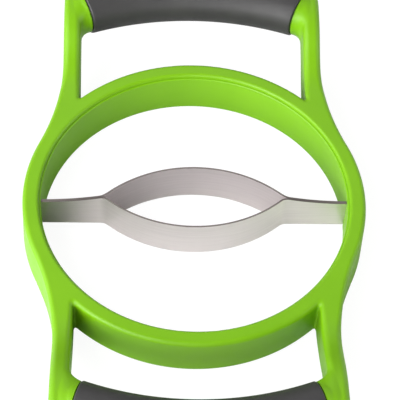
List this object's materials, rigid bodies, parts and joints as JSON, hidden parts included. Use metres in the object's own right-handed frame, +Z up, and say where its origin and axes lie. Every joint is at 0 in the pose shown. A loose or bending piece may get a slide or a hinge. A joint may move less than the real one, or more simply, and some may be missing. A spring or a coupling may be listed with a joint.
{
  "type": "mango splitter",
  "caption": "Round fruit splitter with two raised soft-grip handles and a lens-shaped pair of blades that cuts both cheeks off a stone.",
  "frame": {"origin": "Centre of the bounding box in X and Y, on the flat underside of the ring that the tool rests on.", "axes": "X runs along the blade, Y from the front handle to the rear handle, Z up from the cutting side to the side that is pushed on."},
  "size_m": [0.1164, 0.1936, 0.0274],
  "materials": {
    "frame_plastic": "smooth glossy lime moulding",
    "ring_plastic": "smooth glossy lime moulding",
    "blade_steel": "fine brushed stainless strip",
    "pin_steel": "plain drawn wire",
    "screw_steel": "plain stainless",
    "grip_rubber": "satin soft-touch overmould"
  },
  "bodies": {
    "root": {"frame": "frame_plastic", "blade_ring": "ring_plastic", "front_blade": "blade_steel", "rear_blade": "blade_steel", "left_blade_pin": "pin_steel", "right_blade_pin": "pin_steel", "ring_screws": "screw_steel", "front_grip": "grip_rubber", "rear_grip": "grip_rubber"}
  },
  "joints": []
}
